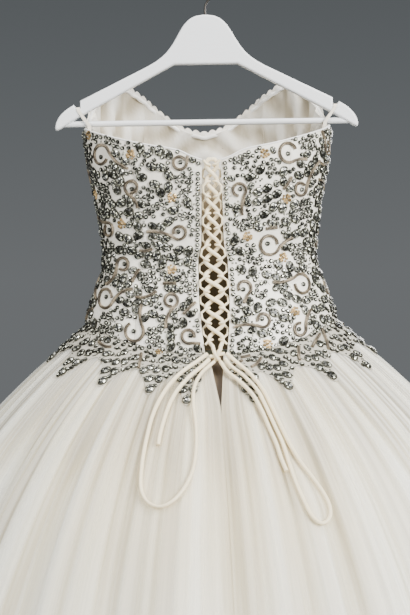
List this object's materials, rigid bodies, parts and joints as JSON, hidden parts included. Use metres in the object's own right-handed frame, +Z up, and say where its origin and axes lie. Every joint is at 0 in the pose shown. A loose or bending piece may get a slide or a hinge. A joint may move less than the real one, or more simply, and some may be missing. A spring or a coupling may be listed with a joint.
{
  "type": "wedding dress on a hanger",
  "caption": "Strapless ball gown on a wooden hanger: a beaded, boned bodice that laces up the back, a bow, and a wide gathered skirt.",
  "frame": {"origin": "inner top of the hanger's hook, where a rail bears", "axes": "+Z up; the laced back faces -Y and the wearer's front faces +Y; +X is to the right when the back is seen"},
  "size_m": [1.5443, 1.3949, 1.6233],
  "materials": {
    "beaded_satin": "ivory satin sewn with clear stones",
    "beadwork": "net sewn closely with clear and gold stones",
    "tulle": "soft ivory tulle in layers",
    "satin_cord": "cream satin rouleau",
    "ribbon": "narrow satin ribbon",
    "painted_wood": "satin white paint",
    "hook_wire": "dark bronzed wire"
  },
  "bodies": {
    "root": {"back_left": "beaded_satin", "back_right": "beaded_satin", "side_left": "beaded_satin", "side_right": "beaded_satin", "front_side_left": "beaded_satin", "front_side_right": "beaded_satin", "front_centre": "beaded_satin", "hem_back_left": "beadwork", "hem_back_right": "beadwork", "hem_front_left": "beadwork", "hem_front_right": "beadwork", "gore_1": "tulle", "gore_2": "tulle", "gore_3": "tulle", "gore_4": "tulle", "gore_5": "tulle", "gore_6": "tulle", "gore_7": "tulle", "gore_8": "tulle", "loop_tape_left": "satin_cord", "loop_tape_right": "satin_cord", "lacing_left": "satin_cord", "lacing_right": "satin_cord", "bow_knot": "satin_cord", "bow_loop_left": "satin_cord", "bow_loop_right": "satin_cord", "bow_tail_left": "satin_cord", "bow_tail_right": "satin_cord", "hanging_loop_left": "ribbon", "hanging_loop_right": "ribbon", "hanger_body": "painted_wood", "hanger_bar": "painted_wood", "hanger_hook": "hook_wire"}
  },
  "joints": []
}
